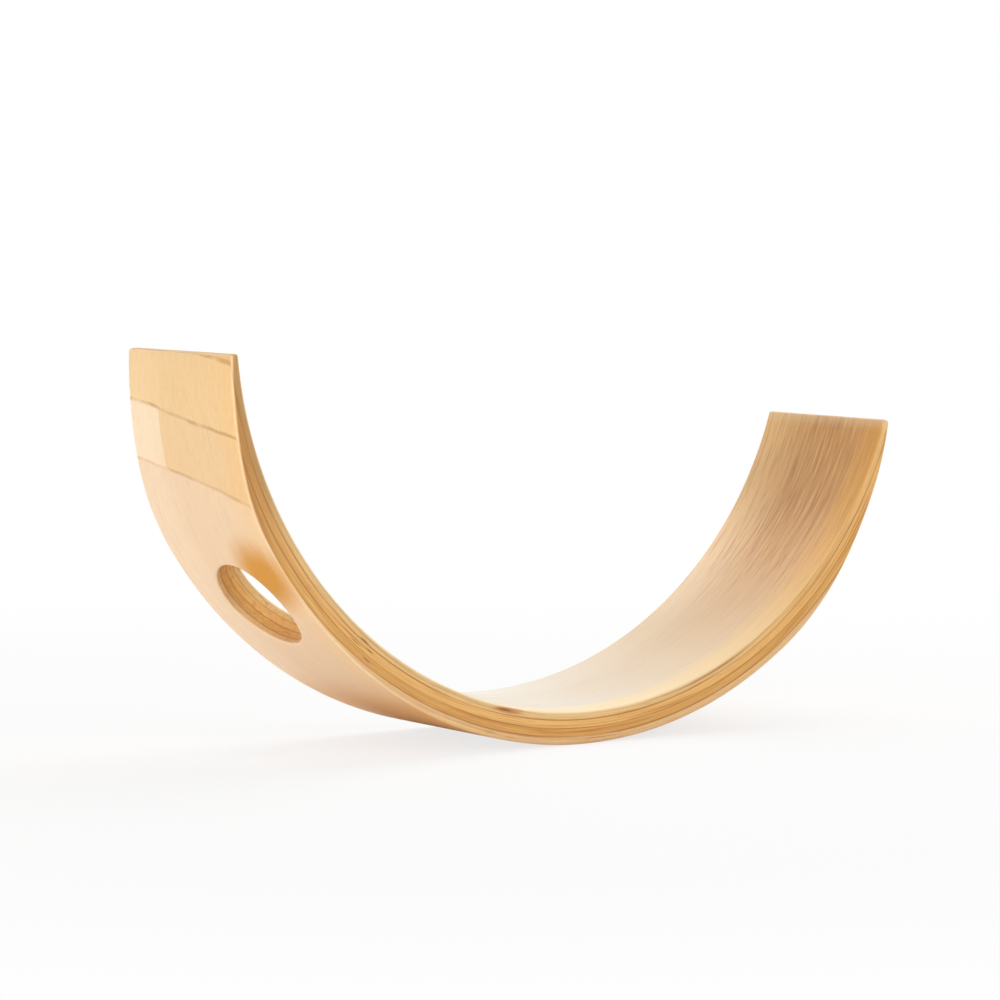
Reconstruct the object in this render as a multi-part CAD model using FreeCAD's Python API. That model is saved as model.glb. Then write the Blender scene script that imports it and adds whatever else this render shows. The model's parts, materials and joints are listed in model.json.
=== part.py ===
import FreeCAD, Part
import math
import os

# Balancing holder: one strip of glued wood plies, bent into an open arc that lies on its round back, with
# a round hole in its high arm. Millimetres, with angles in degrees from the arc's lowest line. X runs along
# the arc and the high arm is on the -X side, Y runs across the strip with its near edge at -Y, and Z is up.
# The origin is the middle of the strip's footprint, on the table.

# Strip
ply_thickness = 3.0
ply_count = 4
strip_width = 70.0
inner_radius = 144.0
high_arm_reach = 85.0
low_arm_reach = 72.5

# Hole, bored square to the strip, with its middle this many degrees back from the high tip
hole_diameter = 38.0
hole_from_high_tip = 36.6

# Radius on every corner of the strip and on both rims of the hole
edge_radius = 1.0

# The outer face is planed thin towards both tips, at the high one more along the near edge. A station is
# the degrees back from the tip, then the share of the tip's full depth that is planed away there.
high_near_tip_thickness = 2.85
high_far_tip_thickness = 3.9
high_near_stations = [(65.0, 0.0), (43.0, 0.14), (30.0, 0.23), (21.5, 0.29), (11.0, 0.66), (0.0, 1.0)]
high_far_stations = [(65.0, 0.0), (43.0, 0.0), (30.0, 0.01), (21.5, 0.09), (11.0, 0.54), (0.0, 1.0)]
low_tip_thickness = 3.15
low_stations = [(36.0, 0.0), (24.0, 0.19), (14.0, 0.52), (6.0, 0.76), (0.0, 1.0)]

# Two faces that turn by less than this many degrees where they meet run smoothly into each other
smooth_turn = 10.0

strip_thickness = ply_count * ply_thickness
outer_radius = inner_radius + strip_thickness


def arc_point(angle, radius, y):
    # The high arm's angles are negative
    turn = math.radians(angle)
    return FreeCAD.Vector(radius * math.sin(turn), y, -radius * math.cos(turn))


def arc_edge(start, end, radius, y):
    angles = (start, (start + end) / 2, end)
    return Part.Arc(*[arc_point(angle, radius, y) for angle in angles]).toShape()


def planed_edge(stations, tip_thickness, tip, y):
    # The planed outer edge of one side face: it leaves the round back smoothly and ends at the tip
    side = math.copysign(1, tip)
    full_depth = strip_thickness - tip_thickness
    points = [arc_point(tip - side * back, outer_radius - share * full_depth, y) for back, share in stations]
    start = math.radians(tip - side * stations[0][0])
    along_back = FreeCAD.Vector(math.cos(start), 0, math.sin(start)) * side
    curve = Part.BSplineCurve()
    curve.interpolate(Points=points, InitialTangent=along_back, FinalTangent=points[-1] - points[-2])
    return curve.toShape()


def side_outline(high_stations, high_tip_thickness, y):
    high_planed = planed_edge(high_stations, high_tip_thickness, -high_arm_reach, y)
    low_planed = planed_edge(low_stations, low_tip_thickness, low_arm_reach, y)
    back_start = high_stations[0][0] - high_arm_reach
    back_end = low_arm_reach - low_stations[0][0]
    round_back = arc_edge(back_start, back_end, outer_radius, y)
    low_end = Part.makeLine(low_planed.lastVertex().Point, arc_point(low_arm_reach, inner_radius, y))
    inside = arc_edge(low_arm_reach, -high_arm_reach, inner_radius, y)
    high_end = Part.makeLine(arc_point(-high_arm_reach, inner_radius, y), high_planed.lastVertex().Point)
    return Part.Wire(Part.__sortEdges__([round_back, low_planed, low_end, inside, high_end, high_planed]))


def bent_blank():
    # Straight lines across the strip join its two side outlines, which twists the planed face
    near = side_outline(high_near_stations, high_near_tip_thickness, -strip_width / 2)
    far = side_outline(high_far_stations, high_far_tip_thickness, strip_width / 2)
    return Part.makeLoft([near, far], True, True)


def hole_cutter():
    # It starts one strip thickness inside the arc and ends one outside
    angle = hole_from_high_tip - high_arm_reach
    start = arc_point(angle, inner_radius - strip_thickness, 0)
    return Part.makeCylinder(hole_diameter / 2, 3 * strip_thickness, start, arc_point(angle, 1, 0))


def turn_across(edge, faces):
    point = edge.valueAt((edge.FirstParameter + edge.LastParameter) / 2)
    normals = [face.normalAt(*face.Surface.parameter(point)) for face in faces]
    return math.degrees(normals[0].getAngle(normals[1]))


def ease_corners(shape):
    # Rounds each edge where two faces meet at a corner, and leaves the seams between smooth faces
    corners = []
    for edge in shape.Edges:
        faces = shape.ancestorsOfType(edge, Part.Face)
        if len(faces) == 2 and turn_across(edge, faces) > smooth_turn:
            corners.append(edge)
    return shape.makeFillet(edge_radius, corners)


def bent_strip():
    blank = ease_corners(bent_blank())
    bored = blank.cut(hole_cutter())
    return ease_corners(bored).Solids[0]


def stand_on_table(shape):
    # Moves the middle of the footprint to the origin
    box = shape.optimalBoundingBox(False, False)
    shape.translate(FreeCAD.Vector(-box.Center.x, -box.Center.y, -box.ZMin))
    return shape


os.makedirs("parts", exist_ok=True)
strip = stand_on_table(bent_strip())
strip.exportStep("parts/bent_strip.step")
print("bent_strip", strip.ShapeType, strip.isValid(), round(strip.Volume), "cubic mm")
print(strip.optimalBoundingBox(False, False))
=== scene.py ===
import bpy
import json
import math
import numpy as np
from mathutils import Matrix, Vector, noise


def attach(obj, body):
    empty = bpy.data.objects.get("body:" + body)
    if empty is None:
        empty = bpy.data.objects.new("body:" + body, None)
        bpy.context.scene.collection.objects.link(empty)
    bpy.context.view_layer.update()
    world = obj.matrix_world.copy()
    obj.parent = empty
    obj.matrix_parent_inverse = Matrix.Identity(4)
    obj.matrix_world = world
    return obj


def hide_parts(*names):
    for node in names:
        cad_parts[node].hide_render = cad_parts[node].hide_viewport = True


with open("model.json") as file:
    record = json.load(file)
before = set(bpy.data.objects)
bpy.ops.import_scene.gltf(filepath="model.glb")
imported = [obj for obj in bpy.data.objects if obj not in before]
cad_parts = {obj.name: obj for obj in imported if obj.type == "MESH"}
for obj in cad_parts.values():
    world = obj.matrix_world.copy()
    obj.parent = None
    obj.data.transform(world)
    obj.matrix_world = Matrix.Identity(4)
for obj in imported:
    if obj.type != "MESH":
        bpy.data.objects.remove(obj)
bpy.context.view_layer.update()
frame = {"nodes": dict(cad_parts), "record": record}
print("frame loaded:", ", ".join(frame["nodes"]))


# The bent strip: metres, and degrees from the arc's lowest line, negative on the high arm

stripForm = {
    "innerRadius": 0.144,
    "thickness": 0.012,
    "width": 0.070,
    "highReach": 85.0,
    "lowReach": 72.5,
    "holeRadius": 0.019,
    "holeFromHighTip": 36.6,
    "easedRadius": 0.001,
    # planed tips: what is left at the near and the far edge, and each edge's stations, which are degrees
    # back from the tip and the share of the tip's depth that is planed away there
    "highTipThickness": (0.00285, 0.0039),
    "highNear": [(65.0, 0.0), (43.0, 0.14), (30.0, 0.23), (21.5, 0.29), (11.0, 0.66), (0.0, 1.0)],
    "highFar": [(65.0, 0.0), (43.0, 0.0), (30.0, 0.01), (21.5, 0.09), (11.0, 0.54), (0.0, 1.0)],
    "lowTipThickness": (0.00315, 0.00315),
    "lowBoth": [(36.0, 0.0), (24.0, 0.19), (14.0, 0.52), (6.0, 0.76), (0.0, 1.0)],
    "planeRipple": 0.00006,     # how far the hand-planed outer face strays from true
    "easeVariation": 0.22,      # how unevenly the corners are eased
    # noise: scale by degrees along, scale by metres across, layer; the hole's goes by steps round it
    "rippleNoise": (0.11, 25.0, 4.0),
    "edgeNoise": (0.2, 60.0, 9.0),
    "holeNoise": (0.6, 1.2, 9.0),
}

stripMesh = {
    "gridStep": 0.002,
    "patchHalf": 0.026,         # half the square of faces that fans in to the hole
    "patchRings": 7,
    "roundSteps": 4,            # rows across each eased corner
    "wallSteps": 8,             # rows between the two eased corners of a sawn edge
    "shadingWeight": 60,        # how much the large faces steer the shading
}

midRadius = stripForm["innerRadius"] + stripForm["thickness"] / 2
degreesPerMetre = math.degrees(1 / midRadius)
mmPerMetre = 1000                   # the wood's shading counts in millimetres
halfWidth = stripForm["width"] / 2
holeAngle = stripForm["holeFromHighTip"] - stripForm["highReach"]


def arcCentre():
    # The hole's axis points at it, and it stands one outer radius above the table
    hole = frame["record"]["mounts"][0]
    height = stripForm["innerRadius"] + stripForm["thickness"]
    reach = (height - hole["pos_m"][2]) / hole["axis"][2]
    return Vector((hole["pos_m"][0] + hole["axis"][0] * reach, 0, height))


centre = arcCentre()


def smoothCurve(stations):
    # A cubic through the stations that starts flat, as a function of the degrees back from the tip
    x = np.array([back for back, share in stations])[::-1]
    y = np.array([share for back, share in stations])[::-1]
    h = np.diff(x)
    slope = np.diff(y) / h
    size = len(x)
    matrix = np.zeros((size, size))
    wanted = np.zeros(size)
    matrix[0, 0] = 1
    for i in range(1, size - 1):
        matrix[i, i - 1:i + 2] = h[i - 1], 2 * (h[i - 1] + h[i]), h[i]
        wanted[i] = 6 * (slope[i] - slope[i - 1])
    matrix[-1, -2:] = h[-1], 2 * h[-1]
    wanted[-1] = -6 * slope[-1]
    bend = np.linalg.solve(matrix, wanted)

    def share(back):
        if back >= x[-1]:
            return 0.0
        i = min(max(int(np.searchsorted(x, back)) - 1, 0), size - 2)
        a, b = (x[i + 1] - back) / h[i], (back - x[i]) / h[i]
        sag = (a ** 3 - a) * bend[i] + (b ** 3 - b) * bend[i + 1]
        return float(a * y[i] + b * y[i + 1] + sag * h[i] ** 2 / 6)

    return share


highShares = (smoothCurve(stripForm["highNear"]), smoothCurve(stripForm["highFar"]))
lowShare = smoothCurve(stripForm["lowBoth"])


def unevenness(angle, across, settings):
    # Smooth noise, the same on each run
    alongScale, acrossScale, layer = settings
    return noise.noise(Vector((angle * alongScale, across * acrossScale, layer)))


def thicknessAt(angle, across):
    # Linear across the strip between its near and far edges, plus the plane's slight ripple
    full = stripForm["thickness"]
    if angle < 0:
        back = angle + stripForm["highReach"]
        tips, shares = stripForm["highTipThickness"], highShares
    else:
        back = stripForm["lowReach"] - angle
        tips, shares = stripForm["lowTipThickness"], (lowShare, lowShare)
    near, far = [full - share(back) * (full - tip) for share, tip in zip(shares, tips)]
    toFar = across / stripForm["width"] + 0.5
    ripple = unevenness(angle, across, stripForm["rippleNoise"]) * stripForm["planeRipple"]
    return near + (far - near) * toFar + ripple


def bentPoint(angle, across, depth):
    turn = math.radians(angle)
    radius = stripForm["innerRadius"] + depth
    return (centre.x + radius * math.sin(turn), across, centre.z - radius * math.cos(turn))


def easedRadius(angle, across, settings):
    # The corners were eased by hand, so their radius wanders a little
    wander = unevenness(angle, across, settings)
    return stripForm["easedRadius"] * (1 + stripForm["easeVariation"] * wander)


def easeSteps():
    # Rows from a broad face over an eased corner: the share of the way, and the turn
    for step in range(1, stripMesh["roundSteps"] + 1):
        share = step / stripMesh["roundSteps"]
        yield share, math.pi / 2 * share


def evenLines(start, stop, step):
    count = max(1, round((stop - start) / step))
    return [start + (stop - start) * i / count for i in range(count + 1)]


def linesWithPatch(start, patchStart, patchEnd, stop, step):
    # Lines over, before and after the hole's square patch, and the numbers of its first and last line
    count = 2 * round(stripMesh["patchHalf"] / stripMesh["gridStep"])
    lines = evenLines(start, patchStart, step)
    first = len(lines) - 1
    lines += [patchStart + (patchEnd - patchStart) * i / count for i in range(1, count + 1)]
    return lines + evenLines(patchEnd, stop, step)[1:], first, first + count


class StripMesh:
    # Collects vertices by their place in the flat strip: degrees along, metres across, metres deep

    def __init__(self):
        self.points = []
        self.places = []
        self.sawn = []
        self.endGrain = []
        self.faces = []

    def add(self, angle, across, depth, sawn=0.0, endGrain=0.0):
        self.points.append(bentPoint(angle, across, depth))
        place = math.radians(angle) * midRadius, across, depth
        self.places.append([metres * mmPerMetre for metres in place])
        self.sawn.append(sawn)
        self.endGrain.append(endGrain)
        return len(self.points) - 1

    def band(self, rowA, rowB):
        # Faces between two closed rows of the same length; a corner of the first row may repeat
        for i in range(len(rowA)):
            j = (i + 1) % len(rowA)
            corners = [rowA[i], rowA[j], rowB[j], rowB[i]]
            self.faces.append([v for k, v in enumerate(corners) if v not in corners[:k]])

    def build(self, name):
        mesh = bpy.data.meshes.new(name)
        mesh.from_pydata(self.points, [], self.faces)
        places = mesh.attributes.new("stripPlace", "FLOAT_VECTOR", "POINT")
        places.data.foreach_set("vector", np.array(self.places, np.float32).ravel())
        for key, values in (("sawn", self.sawn), ("endGrain", self.endGrain)):
            layer = mesh.attributes.new(key, "FLOAT", "POINT")
            layer.data.foreach_set("value", np.array(values, np.float32))
        mesh.update()
        mesh.validate()
        mesh.polygons.foreach_set("use_smooth", [True] * len(mesh.polygons))
        piece = bpy.data.objects.new(name, mesh)
        bpy.context.scene.collection.objects.link(piece)
        return piece


def loopAround(firstAlong, lastAlong, firstSide, lastSide):
    # The grid's keys round a rectangle of it
    loop = [(i, firstSide) for i in range(firstAlong, lastAlong)]
    loop += [(lastAlong, j) for j in range(firstSide, lastSide)]
    loop += [(i, lastSide) for i in range(lastAlong, firstAlong, -1)]
    return loop + [(firstAlong, j) for j in range(lastSide, firstSide, -1)]


def rimPoint(radius, bearing, level):
    # A point round the hole, as degrees along and metres across, on the arc at this depth
    turn = math.asin(radius * math.cos(bearing) / (stripForm["innerRadius"] + level))
    return holeAngle + math.degrees(turn), radius * math.sin(bearing)


def rimBearings(count):
    # They start at the corner of the hole's square patch that is near and towards the high tip
    return [math.radians(225) + 2 * math.pi * m / count for m in range(count)]


def faceDepth(angle, across, outside, drop=0.0):
    # The depth of a broad face, or of a point that lies this much under it
    return thicknessAt(angle, across) - drop if outside else drop


def fanIn(strip, square, outside):
    # Rings of faces from the square round the hole, given by vertex and place, in to the hole's rim
    rimRadius = stripForm["holeRadius"] + stripForm["easedRadius"]
    level = faceDepth(holeAngle, 0, outside)
    bearings = rimBearings(len(square))
    row = [vertex for vertex, angle, across in square]
    for ring in range(1, stripMesh["patchRings"] + 1):
        inward = ring / stripMesh["patchRings"]
        nextRow = []
        for (vertex, angle, across), bearing in zip(square, bearings):
            rimAngle, rimAcross = rimPoint(rimRadius, bearing, level)
            here = angle + (rimAngle - angle) * inward, across + (rimAcross - across) * inward
            nextRow.append(strip.add(*here, faceDepth(*here, outside)))
        strip.band(row, nextRow)
        row = nextRow
    return row


def faceGrid(strip, outside):
    # One broad face as a grid, with a square patch of it fanned in to the hole; returns its two rims
    eased = stripForm["easedRadius"]
    step = stripMesh["gridStep"]
    half = stripMesh["patchHalf"]
    along, i0, i1 = linesWithPatch(
        -stripForm["highReach"] + eased * degreesPerMetre, holeAngle - half * degreesPerMetre,
        holeAngle + half * degreesPerMetre, stripForm["lowReach"] - eased * degreesPerMetre,
        step * degreesPerMetre)
    side, j0, j1 = linesWithPatch(-halfWidth + eased, -half, half, halfWidth - eased, step)
    grid = {}
    for i, angle in enumerate(along):
        for j, across in enumerate(side):
            if not (i0 < i < i1 and j0 < j < j1):
                grid[i, j] = strip.add(angle, across, faceDepth(angle, across, outside))
    for i in range(len(along) - 1):
        for j in range(len(side) - 1):
            if not (i0 <= i < i1 and j0 <= j < j1):
                strip.faces.append([grid[i, j], grid[i + 1, j], grid[i + 1, j + 1], grid[i, j + 1]])
    square = [(grid[i, j], along[i], side[j]) for i, j in loopAround(i0, i1, j0, j1)]
    border = loopAround(0, len(along) - 1, 0, len(side) - 1)
    border = [(grid[i, j], along[i], side[j]) for i, j in border]
    return border, fanIn(strip, square, outside)


def rimStations(border):
    # The outward direction at each point of the strip's border, fanned round its four corners
    alongEnds = min(a for v, a, y in border), max(a for v, a, y in border)
    sideEnds = min(y for v, a, y in border), max(y for v, a, y in border)
    fan = stripMesh["roundSteps"]
    stations = []
    for vertex, angle, across in border:
        outAlong = (angle == alongEnds[1]) - (angle == alongEnds[0])
        outAcross = (across == sideEnds[1]) - (across == sideEnds[0])
        if outAlong and outAcross:
            start = {(-1, -1): 180, (1, -1): 270, (1, 1): 0, (-1, 1): 90}[outAlong, outAcross]
            for step in range(fan + 1):
                bearing = math.radians(start + 90 * step / fan)
                stations.append((vertex, angle, across, math.cos(bearing), math.sin(bearing)))
        else:
            stations.append((vertex, angle, across, outAlong, outAcross))
    return stations


def easedRows(strip, stations, outside):
    # The rows that turn one broad face over into the sawn edge
    rows = [[s[0] for s in stations]]
    for sawn, turn in easeSteps():
        reach = stripForm["easedRadius"] * math.sin(turn)
        row = []
        for vertex, angle, across, outAlong, outAcross in stations:
            here = angle + outAlong * reach * degreesPerMetre, across + outAcross * reach
            drop = easedRadius(angle, across, stripForm["edgeNoise"]) * (1 - math.cos(turn))
            depth = faceDepth(*here, outside, drop)
            row.append(strip.add(*here, depth, sawn, sawn * outAlong ** 2))
        rows.append(row)
    return rows


def holeRows(strip, rim, outside):
    # The rows that turn one broad face over into the bored wall, which is round about its own axis
    rows = [rim]
    level = faceDepth(holeAngle, 0, outside)
    for sawn, turn in easeSteps():
        radius = stripForm["holeRadius"] + stripForm["easedRadius"] * (1 - math.sin(turn))
        row = []
        for m, bearing in enumerate(rimBearings(len(rim))):
            here = rimPoint(radius, bearing, level)
            drop = easedRadius(m, 1, stripForm["holeNoise"]) * (1 - math.cos(turn))
            depth = faceDepth(*here, outside, drop)
            row.append(strip.add(*here, depth, sawn, sawn * math.cos(bearing) ** 2))
        rows.append(row)
    return rows


def wallRows(strip, innerRow, outerRow):
    # Sawn wall between the two eased corners
    rows = [innerRow]
    for step in range(1, stripMesh["wallSteps"]):
        up = step / stripMesh["wallSteps"]
        row = []
        for low, high in zip(innerRow, outerRow):
            place = Vector(strip.places[low]).lerp(Vector(strip.places[high]), up) / mmPerMetre
            angle = math.degrees(place.x / midRadius)
            row.append(strip.add(angle, place.y, place.z, 1.0, strip.endGrain[low]))
        rows.append(row)
    rows.append(outerRow)
    return rows


def turnFacesOut(piece):
    bpy.context.view_layer.objects.active = piece
    bpy.ops.object.select_all(action="DESELECT")
    piece.select_set(True)
    bpy.ops.object.mode_set(mode="EDIT")
    bpy.ops.mesh.select_all(action="SELECT")
    bpy.ops.mesh.normals_make_consistent(inside=False)
    bpy.ops.object.mode_set(mode="OBJECT")


def makeBentStrip():
    strip = StripMesh()
    sides = (False, True)       # outside or not: the inner face, then the outer
    borders, rims = zip(*[faceGrid(strip, outside) for outside in sides])
    edges = [easedRows(strip, rimStations(border), outside) for border, outside in zip(borders, sides)]
    bores = [holeRows(strip, rim, outside) for rim, outside in zip(rims, sides)]
    for inner, outer in (edges, bores):
        for rows in (inner, outer, wallRows(strip, inner[-1], outer[-1])):
            for rowA, rowB in zip(rows, rows[1:]):
                strip.band(rowA, rowB)
    piece = strip.build("bent_strip_wood")
    turnFacesOut(piece)
    weighted = piece.modifiers.new("evenShading", "WEIGHTED_NORMAL")
    weighted.weight = stripMesh["shadingWeight"]
    weighted.keep_sharp = False
    return piece


bentStrip = makeBentStrip()
print("bent strip:", len(bentStrip.data.vertices), "vertices,", len(bentStrip.data.polygons), "faces")


# Shader building

class Wire:
    # A socket in an expression: numbers and other wires join it through Math nodes

    def __init__(self, shader, socket):
        self.shader = shader
        self.socket = socket

    def maths(self, operation, *others, reflected=False):
        values = [*others, self] if reflected else [self, *others]
        return self.shader.node("ShaderNodeMath", {"operation": operation}, values)

    def __add__(self, other):
        return self.maths("ADD", other)

    __radd__ = __add__

    def __sub__(self, other):
        return self.maths("SUBTRACT", other)

    def __rsub__(self, other):
        return self.maths("SUBTRACT", other, reflected=True)

    def __mul__(self, other):
        return self.maths("MULTIPLY", other)

    __rmul__ = __mul__

    def __truediv__(self, other):
        return self.maths("DIVIDE", other)

    def __rtruediv__(self, other):
        return self.maths("DIVIDE", other, reflected=True)

    def __abs__(self):
        return self.maths("ABSOLUTE")


class Shader:
    # A material's or world's node tree

    def __init__(self, owner):
        owner.use_nodes = True
        self.tree = owner.node_tree
        self.tree.nodes.clear()

    def node(self, kind, settings={}, inputs={}, output=0):
        made = self.tree.nodes.new(kind)
        for key, value in settings.items():
            if key == "stops":
                self.fillRamp(made.color_ramp, value)
            else:
                setattr(made, key, value)
        for key, value in (inputs.items() if isinstance(inputs, dict) else enumerate(inputs)):
            if isinstance(value, Wire):
                self.tree.links.new(value.socket, made.inputs[key])
            else:
                made.inputs[key].default_value = value
        return Wire(self, made.outputs[output]) if made.outputs else made

    def fillRamp(self, ramp, stops):
        while len(ramp.elements) < len(stops):
            ramp.elements.new(0.5)
        for element, (place, colour) in zip(ramp.elements, stops):
            element.position = place
            element.color = colour

    def mix(self, factor, a, b, blend="MIX"):
        # The sockets go by number, because the node has three of each name, one for each data type
        settings = {"data_type": "RGBA", "blend_type": blend, "clamp_factor": True}
        return self.node("ShaderNodeMix", settings, {0: factor, 6: a, 7: b}, output=2)

    def rise(self, value, low, high):
        # 0 below low, 1 above high, smooth between; low may be the larger
        inputs = {"Value": value, "From Min": low, "From Max": high}
        return self.node("ShaderNodeMapRange", {"interpolation_type": "SMOOTHSTEP"}, inputs)

    def vector(self, operation, a, b, output=0):
        return self.node("ShaderNodeVectorMath", {"operation": operation}, [a, b], output=output)

    def cloud(self, place, scale, detail, roughness, shift):
        # Noise over the strip's place, with its own scale in each direction
        stretched = self.vector("MULTIPLY", place, scale)
        moved = self.vector("ADD", stretched, shift)
        inputs = {"Vector": moved, "Scale": 1.0, "Detail": detail, "Roughness": roughness}
        return self.node("ShaderNodeTexNoise", {}, inputs)


def srgb(red, green, blue):
    # A colour as picked in a paint program, as the linear values that a socket takes
    channels = []
    for level in (red, green, blue):
        part = level / 255
        channels.append(part / 12.92 if part <= 0.04045 else ((part + 0.055) / 1.055) ** 2.4)
    return (*channels, 1)


laminate = {
    "plyThickness": 3.0,            # millimetres, as all the places along, across and through the strip
    # a reach is where something starts and where it is full
    "sawnReach": (0.5, 0.95),       # in the share of the way over an eased corner
    "insideReach": (1.2, 0.6),
    "outwardReach": (1.5, 2.2),
    # tone of the inner face by its place along the strip, in its middle and along its near edge
    # partly painted light and shade: paler at the bottom where the face looks up to the light, darker up
    # the low arm where shade fell; the cream to honey tone is the wood's own
    "inside": [
        (-222, srgb(238, 202, 154)), (-90, srgb(238, 214, 178)), (0, srgb(240, 230, 212)),
        (78, srgb(232, 202, 164)), (131, srgb(230, 180, 128)), (158, srgb(212, 158, 100)),
        (190, srgb(212, 156, 94)),
    ],
    "insideNear": [
        (-222, srgb(240, 208, 158)), (-60, srgb(252, 230, 188)), (0, srgb(254, 233, 190)),
        (78, srgb(243, 209, 153)), (131, srgb(239, 185, 116)), (158, srgb(226, 169, 90)),
        (190, srgb(216, 156, 78)),
    ],
    "insideNearReach": (-18, -30),
    # tones by ply, from the inside out: laid bare by the plane on the outer face, and sawn
    "outside": [srgb(236, 196, 140), srgb(243, 205, 150), srgb(241, 203, 152), srgb(243, 210, 172)],
    "sawn": [srgb(234, 194, 134), srgb(238, 184, 110), srgb(222, 165, 90), srgb(232, 190, 136)],
    # tints that a tone is multiplied by, each with its reach
    "tints": {
        "outsideNear": ((1.04, 0.98, 0.86, 1), (-16, -33)),
        # painted shade: the outer face's underside darkened to brown where it nears the table
        "undersideShade": ((0.88, 0.69, 0.44, 1), (-92, -62)),
        # painted light: the broad faces paler towards the far edge
        "litFarEdge": ((1.05, 1.09, 1.15, 1), (6, 30)),
        # painted light and shade: the low arm's inner face much paler at its far edge than in its shaded
        # middle
        "lowArmLitFar": ((1.42, 1.68, 2.02, 1), (-6, 36)),
        "lowArmSawn": ((1.02, 0.94, 0.80, 1), (55, 110)),
        # painted shade: the sawn edge turns grey-brown towards the high tip
        "highTipSawnShade": ((0.64, 0.55, 0.46, 1), (-130, -190)),
    },
    # where that painted shade on the underside ends, up the low arm
    "undersideShadeEnd": (80, 50),
    # how far the grain sways the edge of a tone
    "sway": {"insideNear": 14, "outsideNear": 16, "litFarEdge": 20},
    # a paler stave: its ply, where across the strip it starts, how torn its edge is, strength, colour
    "paleStave": (2, 15.5, 0.8, 0.75, srgb(252, 224, 188)),
    # noise drawn out along the strip: scale along, across and through it, detail, roughness
    "noise": {
        "broad": ((0.008, 0.05, 0.25), 2.0, 0.5),
        "streak": ((0.016, 0.42, 1.1), 4.0, 0.62),
        "fibre": ((0.045, 1.5, 3.0), 4.0, 0.6),
        "vein": ((0.05, 0.78, 1.1), 3.0, 0.55),
        "fleck": ((0.16, 1.9, 3.4), 2.0, 0.5),
    },
    "plyShift": (37.7, 13.1),       # how far apart the plies lie in that noise
    # grain drawn in a colour: noise, its reach in that noise, share of the strength, addition, colour
    "faceGrain": [
        ("vein", (0.48, 0.36), 1.35, -0.04, srgb(170, 112, 62)),
        ("vein", (0.53, 0.66), 1.0, -0.04, srgb(254, 208, 134)),
        ("fibre", (0.54, 0.30), 1.35, 0.0, srgb(170, 112, 62)),
        ("streak", (0.50, 0.30), 0.9, 0.0, srgb(170, 112, 62)),
        ("streak", (0.52, 0.70), 0.5, 0.0, srgb(254, 208, 134)),
    ],
    "sawnGrain": [
        ("streak", (0.52, 0.74), 0.65, 0.0, srgb(254, 208, 134)),
        ("streak", (0.47, 0.26), 0.75, 0.0, srgb(170, 106, 38)),
        ("fibre", (0.50, 0.28), 0.50, 0.0, srgb(170, 106, 38)),
        ("fibre", (0.55, 0.74), 0.50, 0.0, srgb(254, 208, 134)),
    ],
    # the broad faces' grain: its strength all over, and what the low arm's inner face adds
    "faceStrength": 0.06,
    "lowArmStrength": 0.32,
    "lowArmReach": (70, 135),
    "calmNear": ((-14, -30), 0.6),  # reach across, and how much weaker the low arm's grain is there
    "calmFar": ((8, 30), 0.5),
    # short dark flecks: reach in their noise, strength, what the sawn edges add to it, colour
    "flecks": ((0.62, 0.74), 0.06, 0.30, srgb(170, 106, 38)),
    "endGrain": (0.45, srgb(178, 122, 62)),     # strength, colour
    "glue": {
        "halfWidth": 0.11,
        "widerSawn": 0.20,
        "wander": 0.26,
        "torn": 0.10,               # how far torn fibres fray a line
        "sink": ((-205, -216), 0.15),   # reach along, and how much deeper a line lies at the high tip
        # noise as above, with its shift: where lines wander, where fibres are torn, where lines are whole
        "wanderNoise": ((0.05, 0.08, 0.0), 3.0, 0.5, (0, 0, 0)),
        "tornNoise": ((0.10, 1.6, 0.0), 2.0, 0.5, (3, 0, 8)),
        "wholeNoise": ((0.03, 0.12, 0.4), 3.0, 0.5, (5, 2, 7)),
        "wholeReach": (0.28, 0.6),
        "clearest": 0.6,
        # strength where a line is broken, and what it gains where it is whole
        "shareOnFace": (0.25, 0.8),
        "shareOnSawn": (0.45, 0.9),
        "onFace": srgb(190, 140, 80),
        "lastOnFace": srgb(214, 160, 112),
        "onSawn": srgb(178, 108, 32),
    },
    # paler eased corners: partly sanded wood, partly a painted highlight where they catch the light
    "sandedAndLit": srgb(252, 228, 188),
    "sandedAndLitStrength": (0.8, 0.45),  # of the eased corners inside, and how much less outside
    "sandedAndLitNear": ((150, 40), 0.5),
    "lowTipSanded": ((184, 190), 0.4),
    # marks in the wood, and a painted reflection and shade beside the hole: middle, size in each
    # direction, colour, strength, how far the grain frays them
    "markAndReflectionReach": (1.0, 0.25),       # as shares of that size
    "marksAndReflection": [
        ((-35, -35, 1.5), (9.5, 2.2, 1.5), srgb(188, 116, 60), 0.75, 0.9),
        ((-37, -35, 1.3), (5.0, 1.5, 0.7), srgb(142, 76, 36), 0.8, 0.9),
        ((-104, -35, 2.7), (3.6, 1.5, 0.34), srgb(92, 48, 18), 0.85, 0.9),
        ((-100, -35, 4.3), (2.6, 1.5, 0.30), srgb(100, 56, 24), 0.8, 0.9),
        ((-107, -35, 5.2), (4.0, 1.5, 0.30), srgb(120, 70, 28), 0.8, 0.9),
        ((-99, -35, 7.6), (3.2, 1.5, 0.32), srgb(96, 54, 24), 0.75, 0.9),
        # painted reflection and shade: a warm amber patch beside the hole on the outer face
        ((-142, -21, 10.2), (20, 21, 4.0), srgb(217, 147, 32), 1.0, 0.4),
    ],
    # satin finish: roughness, then what the sawn edges and the fibres add to it
    "roughness": (0.52, 0.06, 0.18),
    "relief": {"fibre": 0.5, "streak": 0.35, "vein": 0.4},
    "fleckRelief": 0.5,
    "bump": {"Strength": 0.5, "Distance": 0.00012},
    "ior": 1.46,
}


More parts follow.
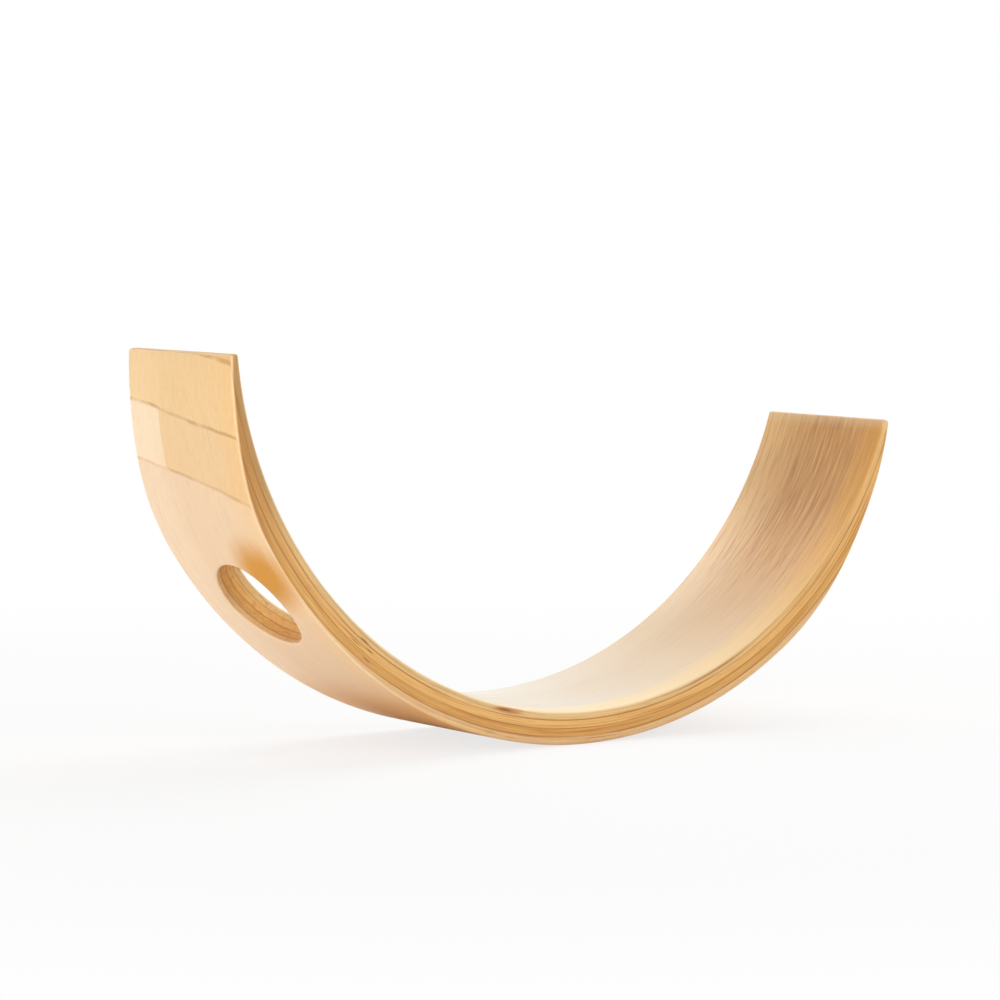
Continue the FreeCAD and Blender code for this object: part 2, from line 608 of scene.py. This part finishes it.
class WoodShader(Shader):
    # Each step reads a point's place in the flat strip, so that grain and plies run round the bend

    def __init__(self, material, look):
        super().__init__(material)
        self.look = look
        self.place = self.attribute("stripPlace", "Vector")
        self.sawn = self.attribute("sawn", "Fac")
        self.endGrain = self.attribute("endGrain", "Fac")
        split = [self.node("ShaderNodeSeparateXYZ", {}, [self.place], output=axis) for axis in "XYZ"]
        self.along, self.across, self.depth = split
        self.onSawn = self.rise(self.sawn, *look["sawnReach"])
        self.onInside = self.rise(self.depth, *look["insideReach"]) * (1 - self.onSawn)
        self.countPlies()
        self.growGrain()

    def attribute(self, name, output):
        return self.node("ShaderNodeAttribute", {"attribute_name": name}, output=output)

    def countPlies(self):
        # Which ply a point lies in, with the glue lines wandering and the planed fibres torn a little
        glue = self.look["glue"]
        drift = self.cloud(self.place, *glue["wanderNoise"]) - 0.5
        self.torn = self.cloud(self.place, *glue["tornNoise"]) - 0.5
        sinkReach, sink = glue["sink"]
        strayed = drift * glue["wander"] + self.torn * glue["torn"]
        sunk = self.rise(self.along, *sinkReach) * sink
        self.level = (self.depth + strayed - sunk) / self.look["plyThickness"]
        self.plyCount = len(self.look["sawn"])
        counted = self.level.maths("FLOOR").maths("MAXIMUM", 0.0)
        self.ply = counted.maths("MINIMUM", self.plyCount - 1)

    def growGrain(self):
        # Each ply is cut from its own part of the noise
        own = self.node("ShaderNodeCombineXYZ", {}, [self.ply * shift for shift in self.look["plyShift"]])
        layers = self.look["noise"].items()
        self.grain = {name: self.cloud(self.place, *layer, shift=own) for name, layer in layers}
        self.fleck = self.rise(self.grain["fleck"], *self.look["flecks"][0])

    def toneByPly(self, tones):
        picked = tones[0]
        for number in range(1, len(tones)):
            picked = self.mix(self.ply.maths("GREATER_THAN", number - 0.5), picked, tones[number])
        return picked

    def toneAlong(self, tones):
        start, stop = tones[0][0], tones[-1][0]
        inputs = {"Value": self.along, "From Min": start, "From Max": stop}
        reach = self.node("ShaderNodeMapRange", {}, inputs)
        stops = [((mm - start) / (stop - start), tone) for mm, tone in tones]
        return self.node("ShaderNodeValToRGB", {"stops": stops}, [reach])

    def swayed(self, name):
        # The place across the strip, swayed so that a tone's edge follows the grain
        return self.across + (self.grain["broad"] - 0.5) * self.look["sway"][name]

    def tint(self, tone, name, value, within=1.0):
        colour, reach = self.look["tints"][name]
        return self.mix(self.rise(value, *reach) * within, tone, colour, blend="MULTIPLY")

    def drawGrain(self, tone, layers, strength=1.0):
        for name, reach, share, addition, colour in layers:
            drawn = self.rise(self.grain[name], *reach) * (strength * share + addition)
            tone = self.mix(drawn, tone, colour)
        return tone

    def insideFace(self):
        # Cream at the bottom and honey brown up the low arm, golden along the near edge: partly the
        # wood's tone, partly painted light at the bottom and painted shade up the low arm
        middle = self.toneAlong(self.look["inside"])
        self.insideNear = self.toneAlong(self.look["insideNear"])
        near = self.rise(self.swayed("insideNear"), *self.look["insideNearReach"])
        return self.mix(near, middle, self.insideNear)

    def outsideFace(self):
        tone = self.toneByPly(self.look["outside"])
        ply, start, fray, strength, colour = self.look["paleStave"]
        onStave = self.across.maths("GREATER_THAN", start + self.torn * fray)
        inPly = 1 - abs(self.ply - ply).maths("MINIMUM", 1.0)
        tone = self.mix(onStave * inPly * strength, tone, colour)
        tone = self.tint(tone, "outsideNear", self.swayed("outsideNear"))
        # painted shade on the outer face's underside, darker brown near the table
        shadeEnd = self.rise(self.along, *self.look["undersideShadeEnd"])
        return self.tint(tone, "undersideShade", self.along, shadeEnd)

    def broadFaces(self):
        tone = self.mix(self.onInside, self.outsideFace(), self.insideFace())
        # painted light: paler towards the far edge
        tone = self.tint(tone, "litFarEdge", self.swayed("litFarEdge"))
        lowArm = self.rise(self.along, *self.look["lowArmReach"]) * self.onInside
        # painted light and shade: the low arm's inner face paler at its far edge than in its middle
        tone = self.tint(tone, "lowArmLitFar", self.across, lowArm)
        calm = 1.0
        for reach, less in (self.look["calmNear"], self.look["calmFar"]):
            calm = calm - self.rise(self.across, *reach) * less
        added = lowArm * lowArm * calm * self.look["lowArmStrength"]
        return self.drawGrain(tone, self.look["faceGrain"], self.look["faceStrength"] + added)

    def sawnEdges(self):
        tone = self.toneByPly(self.look["sawn"])
        inFirst = 1 - self.ply.maths("MINIMUM", 1.0)
        tone = self.tint(tone, "lowArmSawn", self.along, inFirst)
        tone = self.drawGrain(tone, self.look["sawnGrain"])
        # painted shade: darker grey-brown towards the high tip
        tone = self.tint(tone, "highTipSawnShade", self.along, 1 - self.endGrain)
        strength, colour = self.look["endGrain"]
        return self.mix(self.endGrain * strength, tone, colour)

    def addFlecks(self, tone):
        reach, strength, onSawn, colour = self.look["flecks"]
        return self.mix(self.fleck * (strength + self.onSawn * onSawn), tone, colour)

    def drawGlue(self, tone):
        # Glue lines between the plies, none on the two outer surfaces
        glue = self.look["glue"]
        nearest = abs((self.level + 0.5).maths("FRACT") - 0.5) * self.look["plyThickness"]
        outer = self.rise(self.level, self.plyCount - 0.4, self.plyCount - 0.6)
        within = self.rise(self.level, 0.4, 0.6) * outer
        whole = self.rise(self.cloud(self.place, *glue["wholeNoise"]), *glue["wholeReach"])
        lineHalf = glue["halfWidth"] + self.onSawn * glue["widerSawn"]
        line = (1 - nearest / lineHalf).maths("MAXIMUM", 0.0)
        line = line.maths("MINIMUM", glue["clearest"]) * within
        onLast = self.rise(self.level, self.plyCount - 1.6, self.plyCount - 1.4)
        faceTone = self.mix(onLast, glue["onFace"], glue["lastOnFace"])
        drawings = (
            (1 - self.onSawn, glue["shareOnFace"], faceTone),
            (self.onSawn, glue["shareOnSawn"], glue["onSawn"]),
        )
        for surface, (share, gain), colour in drawings:
            tone = self.mix(line * surface * (share + whole * gain), tone, colour)
        return tone

    def sandAndLightCorners(self, tone):
        # The corners and the low tip were sanded last, so they are paler; on the eased corners the
        # paleness is also a painted highlight where they catch the light
        pale = self.look["sandedAndLit"]
        nearReach, nearShare = self.look["sandedAndLitNear"]
        nearSheenTone = self.mix(self.rise(self.along, *nearReach) * nearShare, self.insideNear, pale)
        outward = self.rise(self.depth, *self.look["outwardReach"])
        strength, less = self.look["sandedAndLitStrength"]
        onCornerSheen = (1 - abs(self.sawn * 2 - 1)) * (1 - self.endGrain)
        cornerSheenTone = self.mix(outward, nearSheenTone, pale)
        tone = self.mix(onCornerSheen * (strength - outward * less), tone, cornerSheenTone)
        tipReach, tipShare = self.look["lowTipSanded"]
        return self.mix(self.rise(self.along, *tipReach) * tipShare, tone, pale)

    def addMarksAndReflection(self, tone):
        # the last of these is a painted reflection and shade beside the hole
        for middle, size, colour, strength, fray in self.look["marksAndReflection"]:
            offset = self.vector("DIVIDE", self.vector("SUBTRACT", self.place, middle), size)
            away = self.vector("LENGTH", offset, (0, 0, 0), output="Value")
            frayed = away + (self.grain["fibre"] - 0.5) * fray
            tone = self.mix(self.rise(frayed, *self.look["markAndReflectionReach"]) * strength, tone, colour)
        return tone


def laminatedWood():
    material = bpy.data.materials.new("laminated_wood")
    shader = WoodShader(material, laminate)
    tone = shader.mix(shader.onSawn, shader.broadFaces(), shader.sawnEdges())
    for step in (shader.addFlecks, shader.drawGlue, shader.sandAndLightCorners, shader.addMarksAndReflection):
        tone = step(tone)
    plain, onSawn, inFibre = laminate["roughness"]
    roughness = plain + shader.onSawn * onSawn + (shader.grain["fibre"] - 0.5) * inFibre
    relief = sum(shader.grain[name] * share for name, share in laminate["relief"].items())
    relief = relief - shader.fleck * laminate["fleckRelief"]
    bump = shader.node("ShaderNodeBump", {}, {**laminate["bump"], "Height": relief})
    wood = shader.node("ShaderNodeBsdfPrincipled", {}, {
        "Base Color": tone, "Roughness": roughness, "Normal": bump, "IOR": laminate["ior"]})
    shader.node("ShaderNodeOutputMaterial", {}, {"Surface": wood})
    return material


bentStrip.data.materials.append(laminatedWood())
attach(bentStrip, "root")
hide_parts("bent_strip")
print("laminated wood ready")


# Studio: white floor and world, soft lamps

studio = {
    "floorSize": 40.0,
    "floorTone": (0.96, 0.96, 0.96, 1),
    "shadowShare": 0.24,           # how much of the object's shadow the camera sees
    "shadowReach": (0.28, 0.60),   # metres from the object where the floor fades to plain white
    "worldLight": 0.30,
    "lamps": [
        # name, place, size, watts
        ("keySoftbox", (0.55, 0.35, 1.25), 1.3, 11.5),
        ("leftSoftbox", (-1.2, -0.1, 0.12), 0.4, 5.7),
        ("frontSoftbox", (-0.2, -1.5, 0.7), 1.4, 10.6),
        ("backSoftbox", (0.2, 1.5, 0.7), 1.2, 4.5),
    ],
    "aim": (0.0, 0.0, 0.06),
}


def backgroundSeen(shader):
    # Where the background is seen straight, and where in gloss or glass; elsewhere it only gives light
    kinds = ("Is Camera Ray", "Is Glossy Ray", "Is Transmission Ray")
    straight, inGloss, inGlass = [shader.node("ShaderNodeLightPath", output=kind) for kind in kinds]
    return straight, inGloss.maths("MAXIMUM", inGlass)


def makeFloor():
    half = studio["floorSize"] / 2
    mesh = bpy.data.meshes.new("studio_floor")
    corners = [(-half, -half, 0), (half, -half, 0), (half, half, 0), (-half, half, 0)]
    mesh.from_pydata(corners, [], [(0, 1, 2, 3)])
    floor = bpy.data.objects.new("studio_floor", mesh)
    bpy.context.scene.collection.objects.link(floor)
    material = bpy.data.materials.new("floor_white")
    shader = Shader(material)
    paper = shader.node("ShaderNodeBsdfDiffuse", {}, {"Color": studio["floorTone"]})
    white = shader.node("ShaderNodeEmission", {}, {"Color": (1, 1, 1, 1), "Strength": 1.0})
    spot = shader.node("ShaderNodeTexCoord", output="Object")
    away = shader.vector("LENGTH", spot, (0, 0, 0), output="Value")
    near = shader.rise(away, *reversed(studio["shadowReach"]))
    straight, reflected = backgroundSeen(shader)
    plain = straight * (1 - near * studio["shadowShare"]) + reflected * (1 - near)
    shown = shader.node("ShaderNodeMixShader", {}, [plain, paper, white])
    shader.node("ShaderNodeOutputMaterial", {}, {"Surface": shown})
    mesh.materials.append(material)


def makeWorld():
    world = bpy.data.worlds.new("studio_world")
    bpy.context.scene.world = world
    shader = Shader(world)
    straight, reflected = backgroundSeen(shader)
    strength = studio["worldLight"] + (straight + reflected) * (1 - studio["worldLight"])
    sky = shader.node("ShaderNodeBackground", {}, {"Color": (1, 1, 1, 1), "Strength": strength})
    shader.node("ShaderNodeOutputWorld", {}, {"Surface": sky})


def makeLamps():
    for name, place, size, watts in studio["lamps"]:
        data = bpy.data.lights.new(name, "AREA")
        data.size = size
        data.energy = watts
        lamp = bpy.data.objects.new(name, data)
        bpy.context.scene.collection.objects.link(lamp)
        lamp.location = place
        towards = Vector(studio["aim"]) - Vector(place)
        lamp.rotation_euler = towards.to_track_quat("-Z", "Y").to_euler()


makeFloor()
makeWorld()
makeLamps()
print("studio ready")


# Camera at the photograph's viewing angle

viewpoint = {
    "fromArcCentre": (-0.82998, -1.20287, 0.04088),
    "turn": -34.17,         # degrees about the vertical
    "down": 4.35,           # degrees below level
    "lens": 144.56,
    "sensorWidth": 36,
}


def makeCamera():
    data = bpy.data.cameras.new("photo_camera")
    data.lens = viewpoint["lens"]
    data.sensor_width = viewpoint["sensorWidth"]
    camera = bpy.data.objects.new("photo_camera", data)
    bpy.context.scene.collection.objects.link(camera)
    camera.location = centre + Vector(viewpoint["fromArcCentre"])
    camera.rotation_euler = (math.radians(90 - viewpoint["down"]), 0, math.radians(viewpoint["turn"]))
    bpy.context.scene.camera = camera


makeCamera()
bpy.context.scene.view_settings.view_transform = "Standard"
print("camera ready")
